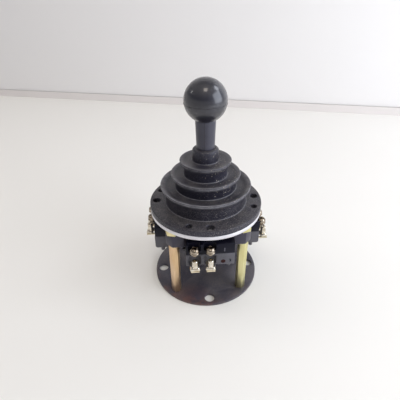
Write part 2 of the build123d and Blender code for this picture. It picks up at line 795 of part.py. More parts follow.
# Terminal screws: upper pair tight on round washers, lower pair standing up on square clamps
with BuildPart() as terminal_screws:
    upper_seat = upper_tab_bottom + tab_thickness
    lower_seat = lower_tab_bottom + tab_thickness
    for across in column_positions:
        with Locations((across, -upper_screw_out, upper_seat)):
            Cylinder(washer_radius, washer_thickness, align=(Align.CENTER, Align.CENTER, Align.MIN))
            Cylinder(terminal_screw_radius, upper_shank_below, align=(Align.CENTER, Align.CENTER, Align.MAX))
        with Locations((across, -upper_screw_out, upper_seat + washer_thickness)):
            Cylinder(upper_head_radius, upper_head_height, align=(Align.CENTER, Align.CENTER, Align.MIN))
        with Locations((across, -upper_screw_out, upper_seat + washer_thickness + upper_head_height)):
            Box(
                2 * upper_head_radius,
                driver_slot_width,
                driver_slot_depth,
                align=(Align.CENTER, Align.CENTER, Align.MAX),
                mode=Mode.SUBTRACT,
            )
        with BuildSketch(Plane.XY.offset(lower_seat)):
            with Locations((across, -lower_screw_out)):
                RectangleRounded(clamp_width, clamp_width, clamp_corner)
        extrude(amount=clamp_thickness)
        with Locations((across, -lower_screw_out, lower_seat)):
            Cylinder(terminal_screw_radius, lower_shank_below, align=(Align.CENTER, Align.CENTER, Align.MAX))
        with Locations((across, -lower_screw_out, lower_seat + clamp_thickness)):
            Cylinder(lower_barrel_radius, lower_barrel_height, align=(Align.CENTER, Align.CENTER, Align.MIN))
        with Locations((across, -lower_screw_out, lower_seat + clamp_thickness + lower_barrel_height)):
            Box(
                2 * lower_barrel_radius,
                driver_slot_width,
                driver_slot_depth,
                align=(Align.CENTER, Align.CENTER, Align.MAX),
                mode=Mode.SUBTRACT,
            )

# Plunger that the actuator pushes, and the bridge that it carries
with BuildPart() as plunger:
    with Locations((0, -actuator_radius - plunger_gap, actuator_height)):
        Box(
            2 * plunger_half_width,
            plunger_end - actuator_radius - plunger_gap,
            2 * plunger_half_height,
            align=(Align.CENTER, Align.MAX, Align.CENTER),
        )
    with Locations((0, -plunger_flange_start, plunger_flange_bottom)):
        Box(
            2 * plunger_flange_half_width,
            plunger_flange_end - plunger_flange_start,
            plunger_flange_top - plunger_flange_bottom,
            align=(Align.CENTER, Align.MAX, Align.MIN),
        )

with BuildPart() as contact_bridge:
    with Locations(((bridge_left + bridge_right) / 2, -plunger_flange_end, bridge_bottom)):
        Box(
            bridge_right - bridge_left,
            bridge_thickness,
            bridge_top - bridge_bottom,
            align=(Align.CENTER, Align.MAX, Align.MIN),
        )
    with Locations((0, -plunger_flange_end, actuator_height)):
        Box(
            2 * (plunger_half_width + thread_clearance),
            bridge_thickness,
            2 * (plunger_half_height + thread_clearance),
            align=(Align.CENTER, Align.MAX, Align.CENTER),
            mode=Mode.SUBTRACT,
        )

# Small spring between the plunger's flange and the base's front wall
contact_spring_length = base_chamber_face - plunger_flange_end - 2 * (contact_spring_wire + contact_spring_gap)
with BuildPart() as contact_spring:
    with BuildLine():
        small_coil = Helix(
            pitch=contact_spring_length / contact_spring_turns,
            height=contact_spring_length,
            radius=contact_spring_radius,
            center=(
                contact_spring_across,
                -plunger_flange_end - contact_spring_wire - contact_spring_gap,
                actuator_height,
            ),
            direction=(0, -1, 0),
        )
    with BuildSketch(Plane(origin=small_coil @ 0, z_dir=small_coil % 0)):
        RegularPolygon(contact_spring_wire, 4)
    sweep(is_frenet=True)

# The seven pieces of a contact block, turned to each side
block_pieces = {
    "contact_base": contact_base,
    "contact_cover": contact_cover,
    "terminal_strips": terminal_strips,
    "terminal_screws": terminal_screws,
    "plunger": plunger,
    "contact_bridge": contact_bridge,
    "contact_spring": contact_spring,
}
for piece_name, piece in block_pieces.items():
    for index, side in enumerate(side_names):
        turned = piece.part.rotate(Axis.Z, 90 * index)
        turned.label = piece_name + "_" + side
        export_step(turned, "parts/" + piece_name + "_" + side + ".step")

# Screws that hold the four contact blocks up to the housing
with BuildPart() as block_screws:
    for index in range(4):
        with Locations(Rot(0, 0, 90 * index) * Pos(block_screw_across, -block_screw_out, block_bottom)):
            Cylinder(
                block_screw_head_radius,
                block_screw_head_height,
                align=(Align.CENTER, Align.CENTER, Align.MAX),
            )
            Cylinder(
                block_screw_radius,
                block_top + block_screw_reach - block_bottom,
                align=(Align.CENTER, Align.CENTER, Align.MIN),
            )
block_screws.part.label = "block_screws"
export_step(block_screws.part, "parts/block_screws.step")
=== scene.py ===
# Industrial joystick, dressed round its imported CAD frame. Metres, +Z up, front is -Y.
import math

import bpy
from mathutils import Matrix, Quaternion, Vector


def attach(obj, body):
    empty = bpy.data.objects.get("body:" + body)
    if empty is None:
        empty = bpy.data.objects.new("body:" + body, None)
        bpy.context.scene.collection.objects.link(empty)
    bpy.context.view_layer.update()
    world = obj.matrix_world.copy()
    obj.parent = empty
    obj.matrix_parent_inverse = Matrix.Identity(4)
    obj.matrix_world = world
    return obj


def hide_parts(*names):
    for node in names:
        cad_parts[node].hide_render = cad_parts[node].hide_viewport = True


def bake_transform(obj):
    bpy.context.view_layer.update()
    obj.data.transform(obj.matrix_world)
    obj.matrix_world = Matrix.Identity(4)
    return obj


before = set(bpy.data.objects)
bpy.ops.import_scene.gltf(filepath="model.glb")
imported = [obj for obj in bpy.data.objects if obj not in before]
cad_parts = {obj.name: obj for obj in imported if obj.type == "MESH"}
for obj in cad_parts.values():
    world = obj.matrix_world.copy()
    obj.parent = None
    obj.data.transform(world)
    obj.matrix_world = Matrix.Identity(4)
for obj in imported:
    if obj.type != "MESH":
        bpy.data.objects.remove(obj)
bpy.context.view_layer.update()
scene = bpy.context.scene
mm = 0.001
sides = ["front", "right", "rear", "left"]
corners = ["front_left", "front_right", "rear_right", "rear_left"]
print("frame loaded:", len(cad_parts), "nodes")


# camera, lamps and room
photoCamera = {
    "lens": 28.81,
    "sensor": 36.0,
    "place": (-0.02135, -0.24484, 0.24104),
    "look": (0.0557, 0.8391, -0.5411),
    "rollDegrees": -0.63,
}


def addCamera(values):
    bpy.ops.object.camera_add(location=values["place"])
    camera = bpy.context.object
    camera.name = "photoCamera"
    aim = Vector(values["look"]).to_track_quat("-Z", "Y")
    roll = Quaternion((0, 0, 1), math.radians(values["rollDegrees"]))
    camera.rotation_euler = (aim @ roll).to_euler()
    camera.data.lens = values["lens"]
    camera.data.sensor_width = values["sensor"]
    camera.data.clip_start = 0.01
    scene.camera = camera


addCamera(photoCamera)


def deselectAll():
    if bpy.context.object and bpy.context.object.mode != "OBJECT":
        bpy.ops.object.mode_set(mode="OBJECT")
    bpy.ops.object.select_all(action="DESELECT")


def choose(*pieces):
    deselectAll()
    for piece in pieces:
        piece.select_set(True)
    bpy.context.view_layer.objects.active = pieces[0]


def settle(piece):
    # the place, turn and size go into the mesh
    choose(piece)
    bpy.ops.object.transform_apply(location=True, rotation=True, scale=True)
    return piece


# shader wiring
class Wire:
    # one output of a node, with the sums that the materials use
    def __init__(self, nodes, socket):
        self.nodes = nodes
        self.socket = socket

    def sum(self, operation, first, second):
        return self.nodes.add("ShaderNodeMath", {"operation": operation}, {0: first, 1: second})

    def __add__(self, other):
        return self.sum("ADD", self, other)

    def __radd__(self, other):
        return self.sum("ADD", other, self)

    def __sub__(self, other):
        return self.sum("SUBTRACT", self, other)

    def __rsub__(self, other):
        return self.sum("SUBTRACT", other, self)

    def __mul__(self, other):
        return self.sum("MULTIPLY", self, other)

    def __rmul__(self, other):
        return self.sum("MULTIPLY", other, self)

    def __lt__(self, other):
        return self.sum("LESS_THAN", self, other)

    def __gt__(self, other):
        return self.sum("GREATER_THAN", self, other)


class Nodes:
    # a node tree, of a material or of the world
    def __init__(self, tree):
        self.tree = tree

    def add(self, kind, settings=None, sockets=None, output=0):
        node = self.tree.nodes.new(kind)
        for key, value in (settings or {}).items():
            setattr(node, key, value)
        for key, value in (sockets or {}).items():
            if isinstance(value, Wire):
                self.tree.links.new(value.socket, node.inputs[key])
            else:
                node.inputs[key].default_value = value
        return Wire(self, node.outputs[output])

    def between(self, wire, low, high, toLow=0.0, toHigh=1.0, kind="LINEAR"):
        return self.add(
            "ShaderNodeMapRange",
            {"clamp": True, "interpolation_type": kind},
            {0: wire, 1: low, 2: high, 3: toLow, 4: toHigh},
        )

    def blend(self, factor, first, second):
        wide = [value if isinstance(value, Wire) else (*value, 1) for value in (first, second)]
        return self.add(
            "ShaderNodeMix", {"data_type": "RGBA"}, {0: factor, 6: wide[0], 7: wide[1]}, output=2
        )


class Finish(Nodes):
    # one material and the nodes that feed its shader
    def __init__(self, name, **constants):
        self.material = bpy.data.materials.new(name)
        self.material.use_nodes = True
        super().__init__(self.material.node_tree)
        self.shader = self.tree.nodes["Principled BSDF"]
        for socketName, value in constants.items():
            self.shader.inputs[socketName.replace("_", " ")].default_value = value

    def feed(self, socketName, wire):
        self.tree.links.new(wire.socket, self.shader.inputs[socketName])

    def place(self, stretch=(1, 1, 1)):
        here = self.add("ShaderNodeTexCoord", output="Object")
        if stretch == (1, 1, 1):
            return here
        return self.add("ShaderNodeMapping", {}, {"Vector": here, "Scale": stretch})

    def along(self, axis):
        return self.add("ShaderNodeSeparateXYZ", {}, {0: self.place()}, axis)

    def grain(self, perMetre, detail=3.0, roughness=0.55, stretch=(1, 1, 1)):
        return self.add(
            "ShaderNodeTexNoise",
            {},
            {
                "Vector": self.place(stretch),
                "Scale": perMetre,
                "Detail": detail,
                "Roughness": roughness,
            },
        )

    def specks(self, perMetre, size):
        # 1 in small round dots at the middle of voronoi cells
        dots = self.add("ShaderNodeTexVoronoi", {}, {"Vector": self.place(), "Scale": perMetre})
        return dots < size

    def clouded(self, cloud, colours):
        # two close colours that run into each other in soft clouds
        return self.blend(self.between(cloud, 0.35, 0.7), *colours)

    def roughen(self, mask, low, high):
        self.feed("Roughness", self.between(mask, 0.3, 0.7, low, high))

    def relief(self, height, depth):
        self.feed("Normal", self.add("ShaderNodeBump", {}, {"Distance": depth, "Height": height}))


def shade(red, green, blue):
    # a screen colour from 0 to 255 as scene light
    return tuple(
        value / 255 / 12.92 if value <= 10 else ((value / 255 + 0.055) / 1.055) ** 2.4
        for value in (red, green, blue)
    )


# the black plastics and the rubber shine a little blue
coolShine = (0.86, 0.88, 1.0, 1.0)
toolMarkDepth = 0.00002

# in every look, four numbers in a row are from and to in metres, and the share at each of them
mouldedLook = {
    "dust": shade(150, 146, 140),
    "dustShare": 0.1,
    # painted shade: the colour of the dark hairline beside the sleeve's raised seam
    "seam": shade(16, 15, 24),
    "seamWidth": 0.0004,
    "seamShadeSoft": 0.0003,
    "seamShadeInFront": (-0.003, 0.0, 0.55, 0.0),
    "grainDepth": 0.00004,
}


def moulded(name, colours, roughness, grainSize, bend=1.5, seam=None):
    # a moulded plastic: cloudy colour, fine spark-eroded grain, a little dust and handling shine,
    # and painted shade beside a raised seam where one is given
    look = mouldedLook
    finish = Finish(name, IOR=bend, Specular_Tint=coolShine)
    cloud = finish.grain(45, 4.0)
    fine = finish.grain(grainSize * 4, 2.0)
    base = finish.clouded(cloud, colours)
    # painted shade as a dark hairline beside the raised seam, on the front only
    if seam is not None:  # a dark hairline beside the raised seam, on the front only
        across, depthwise = finish.along("X"), finish.along("Y")
        left, soft = seam - look["seamWidth"], look["seamShadeSoft"]
        seamShade = finish.between(across, left - soft, left)
        seamShade = seamShade * (1 - finish.between(across, seam, seam + soft))
        seamShade = seamShade * finish.between(depthwise, *look["seamShadeInFront"])
        base = finish.blend(seamShade, base, look["seam"])
    dusty = finish.specks(420, 0.10) * finish.between(finish.grain(120, 2.0), 0.5, 0.68)
    finish.feed("Base Color", finish.blend(dusty * look["dustShare"], base, look["dust"]))
    finish.roughen(cloud * 0.6 + fine * 0.4, roughness - 0.07, roughness + 0.08)
    finish.relief(fine, look["grainDepth"])
    return finish.material


def steel(name, colours, roughness, stretch=(1, 1, 1)):
    # turned or drawn metal: stretched tool marks, faint stains
    finish = Finish(name, Metallic=1.0)
    marks = finish.grain(900, 3.0, 0.6, stretch)
    stain = finish.grain(70, 3.0)
    finish.feed("Base Color", finish.clouded(stain, colours))
    finish.roughen(marks * 0.5 + stain * 0.5, roughness - 0.06, roughness + 0.1)
    finish.relief(marks, toolMarkDepth)
    return finish.material


ballLook = {
    "colours": (shade(5, 4, 15), shade(10, 9, 24)),
    "roughness": (0.34, 0.48),
    "coat": 0.75,
    "scuffDepth": 0.000012,
}


def makeBallPlastic(look):
    finish = Finish(
        "ballPlastic",
        IOR=1.6,
        Specular_Tint=coolShine,
        Coat_Weight=look["coat"],
        Coat_IOR=1.58,
        Coat_Roughness=0.14,
    )
    cloud = finish.grain(60, 3.0)
    scuffs = finish.grain(500, 3.0, 0.6, (1, 1, 0.25))
    handled = finish.between(finish.grain(28, 2.0), 0.4, 0.65)
    finish.feed("Base Color", finish.blend(finish.between(cloud, 0.3, 0.7), *look["colours"]))
    finish.feed(
        "Roughness", finish.between(scuffs * 0.45 + handled * 0.55, 0.2, 0.85, *look["roughness"])
    )
    finish.relief(scuffs, look["scuffDepth"])
    return finish.material


rubberLook = {
    "colours": (shade(17, 16, 27), shade(45, 44, 56)),
    # pale bloom on what faces up: partly dust, partly painted top light
    "dustAndPaintedTopLight": shade(112, 108, 104),
    "dustAndPaintedTopLightShare": 0.32,
    "grit": shade(176, 168, 158),
    "gritOnFlange": (0.0988, 0.0996, 0.17, 0.03),
    # rims and wall feet rubbed pale, partly wear and partly painted highlight
    "rubbedAndPaintedHighlight": shade(150, 149, 154),
    "rubbedAndPaintedHighlightShare": 0.55,
    "rubbedAndPaintedHighlightByHeight": (0.098, 0.124, 1.7, 0.75),
    "lint": shade(190, 182, 170),
    "lintShare": 0.85,
    "lintPerMetre": 560,
    "lintSize": 0.23,
    "lintFromLeft": (-0.006, 0.012, 0.1, 1.0),
    "lintToRight": (0.022, 0.034, 1.0, 0.3),
    "lintToRear": (-0.012, 0.006, 1.0, 0.25),
    "lintByHeight": (0.0995, 0.103, 0.35, 1.0),
    "roughness": (0.36, 0.58),
    "grainDepth": 0.00005,
}


def makeBootRubber(look):
    finish = Finish("bootRubber", IOR=1.5, Specular_Tint=coolShine)
    across, depthwise, height = (finish.along(axis) for axis in "XYZ")
    cloud = finish.grain(50, 4.0)
    fine = finish.grain(2600, 2.0)
    speckle = finish.between(finish.grain(1300, 2.0, 0.7), 0.4, 0.66)
    base = finish.blend(finish.between(cloud * 0.6 + speckle * 0.4, 0.25, 0.7), *look["colours"])
    # pale dust and painted light: a bloom on what faces up, partly dust and partly painted top
    # light, grit on the flange, and lint at the right of the front
    normal = finish.add("ShaderNodeNewGeometry", output="Normal")
    upward = finish.add("ShaderNodeSeparateXYZ", {}, {0: normal}, "Z")
    dustAndPaintedTopLight = finish.between(upward, 0.3, 1.0) * finish.between(finish.grain(95, 5.0), 0.3, 0.72)
    dustAndPaintedTopLight = dustAndPaintedTopLight * look["dustAndPaintedTopLightShare"]
    grit = finish.between(height, *look["gritOnFlange"]) * finish.between(speckle, 0.45, 0.9)
    frontRight = finish.between(across, *look["lintFromLeft"])
    frontRight = frontRight * finish.between(across, *look["lintToRight"])
    frontRight = frontRight * finish.between(depthwise, *look["lintToRear"])
    lint = finish.specks(look["lintPerMetre"], look["lintSize"])
    lint = lint * finish.between(finish.grain(260, 2.0), 0.42, 0.5) * frontRight
    lint = lint * finish.between(height, *look["lintByHeight"])
    # edges rubbed pale, partly wear and partly a painted highlight along the rims and wall feet,
    # marked on the mesh point by point
    rubbedAndPaintedHighlight = finish.add("ShaderNodeAttribute", {"attribute_name": "rubbedAndPaintedHighlightEdge"}, {}, "Fac")
    rubbedAndPaintedHighlight = rubbedAndPaintedHighlight * finish.between(finish.grain(210, 3.0), 0.3, 0.62, 0.35, 1.0)
    rubbedAndPaintedHighlight = rubbedAndPaintedHighlight * finish.between(height, *look["rubbedAndPaintedHighlightByHeight"]) * look["rubbedAndPaintedHighlightShare"]
    for share, layer in (
        (dustAndPaintedTopLight, "dustAndPaintedTopLight"),
        (grit, "grit"),
        (rubbedAndPaintedHighlight, "rubbedAndPaintedHighlight"),
        (lint * look["lintShare"], "lint"),
    ):
        base = finish.blend(share, base, look[layer])
    finish.feed("Base Color", base)
    finish.feed(
        "Roughness", finish.between(cloud * 0.6 + dustAndPaintedTopLight * 0.8, 0.2, 0.75, *look["roughness"])
    )
    finish.relief(fine * 0.6 + lint * 0.5, look["grainDepth"])
    return finish.material


zincLook = {
    "warm": (shade(240, 214, 184), shade(222, 186, 150)),
    "green": (shade(236, 231, 182), shade(218, 210, 150)),
    "roughness": (0.28, 0.45),
}


def makeYellowZinc(name, leanFrom, leanTo, look):
    # zinc with a yellow passivation: copper and peach to the left, greener to the right
    finish = Finish(name, Metallic=1.0)
    drawn = finish.grain(520, 3.0, 0.6, (1, 1, 0.06))
    cloud = finish.grain(55, 4.0, 0.6, (1, 1, 0.5))
    lean = finish.between(finish.along("X") + cloud * 0.03, leanFrom, leanTo)
    patches = finish.between(cloud, 0.35, 0.68)
    warm, green = (finish.blend(patches, *look[tint]) for tint in ("warm", "green"))
    finish.feed("Base Color", finish.blend(lean, warm, green))
    finish.roughen(drawn * 0.6 + cloud * 0.4, *look["roughness"])
    finish.relief(drawn, toolMarkDepth)
    return finish.material


plateLook = {
    "colours": (shade(58, 56, 66), shade(86, 82, 84)),
    "mottle": shade(128, 116, 104),
    "mottleShare": 0.22,
    "stain": shade(92, 62, 56),
    "stainShare": 0.75,
    "stainCentre": (-0.018, -0.046, 0.0025),
    "stainReach": (0.003, 0.024),
    "rust": shade(104, 74, 65),
    "rustCentre": (0.0, 0.006, 0.0025),
    "rustReach": (0.0485, 0.0565),
    "rustToRight": (-0.006, 0.006, 0.8, 0.2),
    "roughness": (0.3, 0.5),
}


def makePlateBlack(look):
    # black finish on steel: smudges, fine scratches, a brown stain at the front left, a rusty rim
    finish = Finish("plateBlack", IOR=1.5, Specular_Tint=coolShine)
    here = finish.place()
    cloud = finish.grain(24, 5.0, 0.6)
    scratches = finish.grain(900, 2.0, 0.5, (0.12, 1, 1))
    toStain, toRust = (
        finish.add(
            "ShaderNodeVectorMath", {"operation": "DISTANCE"}, {0: here, 1: look[centre]}, "Value"
        )
        for centre in ("stainCentre", "rustCentre")
    )
    stain = 1 - finish.between(toStain, *look["stainReach"])
    stain = stain * finish.between(cloud, 0.33, 0.58)
    rust = finish.between(toRust, *look["rustReach"])
    rust = rust * finish.between(finish.grain(210, 4.0), 0.4, 0.62)
    rust = rust * finish.between(finish.along("X"), *look["rustToRight"])
    mottle = finish.between(finish.grain(800, 3.0), 0.48, 0.68) * finish.between(cloud, 0.3, 0.6)
    base = finish.blend(finish.between(cloud, 0.45, 0.7), *look["colours"])
    base = finish.blend(mottle * look["mottleShare"], base, look["mottle"])
    base = finish.blend(stain * look["stainShare"], base, look["stain"])
    finish.feed("Base Color", finish.blend(rust, base, look["rust"]))
    finish.roughen(cloud * 0.6 + scratches * 0.4, *look["roughness"])
    finish.relief(scratches, toolMarkDepth)
    return finish.material


ringLook = {"colours": (shade(232, 231, 236), shade(216, 215, 222)), "roughness": (0.34, 0.5)}


def makeRingMetal(look):
    finish = Finish("ringMetal", Metallic=0.6)
    turning = finish.grain(800, 3.0, 0.6, (1, 1, 3))
    cloud = finish.grain(40, 4.0)
    finish.feed("Base Color", finish.clouded(cloud, look["colours"]))
    finish.roughen(turning * 0.5 + cloud * 0.5, *look["roughness"])
    finish.relief(turning, toolMarkDepth)
    return finish.material


def makeTerminalPlating(name, colours, brown, wornShare):
    # nickel over brass, a little worn and stained
    finish = Finish(name, Metallic=1.0)
    cloud = finish.grain(260, 4.0)
    turning = finish.grain(1500, 2.0, 0.5, (1, 1, 0.2))
    worn = finish.between(finish.grain(420, 3.0), 0.48, 0.7)
    plating = finish.clouded(cloud, colours)
    finish.feed("Base Color", finish.blend(worn * wornShare, plating, brown))
    finish.roughen(cloud * 0.6 + turning * 0.4, 0.12, 0.27)
    finish.relief(turning, 0.00003)
    return finish.material


tabLook = {
    "dark": (shade(64, 56, 50), shade(44, 38, 36)),
    "bright": (shade(228, 220, 198), shade(206, 194, 166)),
    # height from which the strips are painted dark, as painted shade behind the upper screws
    "paintedShadeFrom": (0.0525, 0.0535),
    "roughness": (0.28, 0.42),
}


def makeTab(look):
    # the strips are painted dark above a height, as painted shade behind the upper screws, and stay
    # bright under the lower ones
    finish = Finish("tabPaintedShade", Metallic=1.0)
    cloud = finish.grain(260, 4.0)
    bright, dark = (finish.clouded(cloud, look[tone]) for tone in ("bright", "dark"))
    upper = finish.between(finish.along("Z"), *look["paintedShadeFrom"])
    finish.feed("Base Color", finish.blend(upper, bright, dark))
    finish.roughen(cloud, *look["roughness"])
    return finish.material


# a finish for each of the record's slots, and then five that vary one of them
finishes = {
    "ball_plastic": makeBallPlastic(ballLook),
    "boot_rubber": makeBootRubber(rubberLook),
    "yellow_zinc": makeYellowZinc("yellowZinc", -0.022, 0.045, zincLook),
    "plate_black": makePlateBlack(plateLook),
    "ring_metal": makeRingMetal(ringLook),
    "terminal_plated": makeTerminalPlating(
        "terminalPlating", (shade(236, 231, 220), shade(212, 204, 186)), shade(172, 148, 114), 0.6
    ),
    # the sleeve's finish carries a painted shade line beside its seam
    "sleeve_plastic": moulded(
        "sleevePlastic", (shade(42, 41, 53), shade(51, 50, 62)), 0.33, 700, bend=1.68, seam=-0.0014
    ),
    "housing_plastic": moulded("housingPlastic", (shade(50, 47, 59), shade(61, 58, 71)), 0.32, 900),
    "block_black": moulded(
        "blockBlack", (shade(12, 12, 23), shade(18, 18, 32)), 0.34, 1000, bend=1.3
    ),
    "block_grey": moulded("blockGrey", (shade(79, 78, 83), shade(91, 89, 95)), 0.3, 1000),
    "nylon": moulded("nylon", (shade(222, 218, 206), shade(234, 231, 222)), 0.36, 700),
    "plunger_red": moulded("plungerRed", (shade(150, 34, 28), shade(172, 48, 38)), 0.38, 900),
    "shaft_steel": steel(
        "shaftSteel", (shade(206, 206, 210), shade(188, 188, 194)), 0.22, (1, 1, 4)
    ),
    "gimbal_steel": steel("gimbalSteel", (shade(180, 180, 184), shade(160, 160, 166)), 0.34),
    "spring_steel": steel("springSteel", (shade(170, 170, 176), shade(146, 146, 152)), 0.26),
    "screw_steel": steel("screwSteel", (shade(84, 83, 86), shade(66, 65, 69)), 0.36, (1, 1, 2)),
    "brass": steel("brass", (shade(216, 180, 104), shade(196, 156, 84)), 0.28, (1, 1, 3)),
    # a darker copy of the terminal plating, painted shade for the upper screws that sit under the
    # ring
    "plating_painted_shade": makeTerminalPlating(
        "platingPaintedShade", (shade(176, 166, 152), shade(150, 138, 122)), shade(112, 90, 68), 0.7
    ),
    "rivet_copper": steel("rivetCopper", (shade(74, 44, 42), shade(54, 35, 36)), 0.45),
    # terminal strips with painted shade behind the upper screws
    "tab_painted_shade": makeTab(tabLook),
    "spacer_zinc": makeYellowZinc("spacerZinc", -0.08, 0.0, zincLook),
    "block_mark": moulded("blockMark", (shade(84, 83, 94), shade(96, 95, 105)), 0.36, 1000),
}
print("finishes made:", len(finishes))


def dress(piece, finishName):
    piece.data.materials.clear()
    piece.data.materials.append(finishes[finishName])


def hand(piece, slotName, body, *nodes, look=None):
    # finish, slot, body and the CAD nodes that the piece stands for
    dress(piece, look or slotName)
    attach(piece, body)
    if nodes:
        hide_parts(*nodes)


def handBending(piece, slotName, node):
    # the same for a soft piece: its finish and the CAD node it stands for, with its place baked
    # into the mesh
    dress(piece, slotName)
    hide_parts(node)
    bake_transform(piece)


# modelling helpers
def startEdit(piece, kind="FACE"):
    choose(piece)
    bpy.ops.object.mode_set(mode="EDIT")
    bpy.ops.mesh.select_mode(type=kind)
    bpy.ops.mesh.select_all(action="DESELECT")


def endEdit():
    bpy.ops.object.mode_set(mode="OBJECT")


def pick(piece, kind, test):
    # selects faces by centre and normal, or edges by their two ends
    startEdit(piece, kind)
    endEdit()
    mesh = piece.data
    if kind == "FACE":
        for face in mesh.polygons:
            face.select = test(face.center / mm, face.normal)
    else:
        for edge in mesh.edges:
            first, second = (mesh.vertices[index].co / mm for index in edge.vertices)
            edge.select = test(first, second)
    bpy.ops.object.mode_set(mode="EDIT")


weld = 0.002  # points nearer than this, in millimetres, become one


def tidyMesh(piece, closeness=weld):
    startEdit(piece)
    bpy.ops.mesh.select_all(action="SELECT")
    bpy.ops.mesh.remove_doubles(threshold=closeness * mm)
    bpy.ops.mesh.normals_make_consistent(inside=False)
    endEdit()


def smooth(piece, degrees):
    choose(piece)
    bpy.ops.object.shade_smooth_by_angle(angle=math.radians(degrees))


def applyAll(piece):
    choose(piece)
    for modifier in list(piece.modifiers):
        bpy.ops.object.modifier_apply(modifier=modifier.name)


def softened(cornerList, segments):
    # a corner is (radius, height, rounding): rounded ones become a short run of points
    points = []
    count = len(cornerList)
    most = 0.48  # of a side, so that the roundings at its two ends never meet
    for index, (radius, height, rounding) in enumerate(cornerList):
        corner = Vector((radius, height))
        if not rounding:
            points.append(corner)
            continue
        before = Vector(cornerList[index - 1][:2]) - corner
        after = Vector(cornerList[(index + 1) % count][:2]) - corner
        reach = min(rounding, most * before.length, most * after.length)
        start, end = corner + before.normalized() * reach, corner + after.normalized() * reach
        for step in range(segments + 1):
            t = step / segments
            points.append((1 - t) ** 2 * start + 2 * t * (1 - t) * corner + t * t * end)
    return points


def turned(name, cornerList, steps, segments=5):
    # the outline is drawn point by point in the XZ plane, closed and spun round the Z axis
    outline = softened(cornerList, segments)
    deselectAll()
    bpy.ops.mesh.primitive_plane_add(size=mm, location=(0, 0, 0))
    piece = bpy.context.object
    piece.name = name
    bpy.ops.object.mode_set(mode="EDIT")
    bpy.ops.mesh.select_mode(type="VERT")
    bpy.ops.mesh.select_all(action="SELECT")
    bpy.ops.mesh.merge(type="CENTER")
    here = Vector((0, 0))
    for index, point in enumerate(outline + [outline[0]]):
        step = (point - here) * mm
        move = {"value": (step.x, 0, step.y)}
        if index == 0:
            bpy.ops.transform.translate(**move)
        else:
            bpy.ops.mesh.extrude_vertices_move(TRANSFORM_OT_translate=move)
        here = point
    bpy.ops.mesh.select_all(action="SELECT")
    bpy.ops.mesh.remove_doubles(threshold=weld * mm)
    bpy.ops.mesh.select_all(action="SELECT")
    bpy.ops.mesh.spin(steps=steps, angle=2 * math.pi, center=(0, 0, 0), axis=(0, 0, 1))
    endEdit()
    tidyMesh(piece)
    return piece


def boxPiece(name, low, high):
    deselectAll()
    middle = [(a + b) / 2 * mm for a, b in zip(low, high)]
    bpy.ops.mesh.primitive_cube_add(size=1, location=middle)
    piece = bpy.context.object
    piece.name = name
    piece.scale = [(b - a) * mm for a, b in zip(low, high)]
    return settle(piece)


def bevelEdges(piece, width, degrees):
    # rounds every edge that is sharper than this
    bevel = piece.modifiers.new("edge", "BEVEL")
    bevel.width = width * mm
    bevel.segments = 2
    bevel.limit_method = "ANGLE"
    bevel.angle_limit = math.radians(degrees)
    bevel.use_clamp_overlap = False
    applyAll(piece)


def cutWith(piece, cutter, operation="DIFFERENCE"):
    cut = piece.modifiers.new("cut", "BOOLEAN")
    cut.operation = operation
    cut.solver = "EXACT"
    cut.object = cutter
    applyAll(piece)
    remove(cutter)


def copied(piece, name, turn=0.0, shift=(0, 0, 0)):
    # a copy with its own mesh, turned about the Z axis and then moved
    twin = piece.copy()
    twin.data = piece.data.copy()
    twin.name = name
    scene.collection.objects.link(twin)
    twin.data.transform(Matrix.Translation(Vector(shift) * mm) @ Matrix.Rotation(turn, 4, "Z"))
    return twin


def joined(name, pieces):
    choose(*pieces)
    bpy.ops.object.join()
    whole = bpy.context.object
    whole.name = name
    return whole


def remove(piece):
    choose(piece)
    bpy.ops.object.delete()


def softCopy(node, name, width):
    # a CAD node's own shape with its edges broken, as a moulded or deburred part has
    twin = copied(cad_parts[node], name)
    twin.parent = None
    for key in list(twin.keys()):
        if key.startswith("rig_"):
            del twin[key]
    tidyMesh(twin, closeness=0.004)
    startEdit(twin)
    bpy.ops.mesh.select_all(action="SELECT")
    bpy.ops.mesh.dissolve_limited(angle_limit=math.radians(1.0))
    endEdit()
    bevelEdges(twin, width, degrees=35)
    smooth(twin, degrees=40)
    return twin


# ball knob
ballKnob = {
    "radius": 17.0,
    "middle": 173.0,
    "flat": 158.6,
    "flatRadius": 9.04,
    "boreRadius": 6.53,
    "boreDepth": 13.4,
    "rimRound": 0.5,
    "partingHeight": 171.1,
    "partingWidth": 0.5,
    "partingRise": 0.24,
}


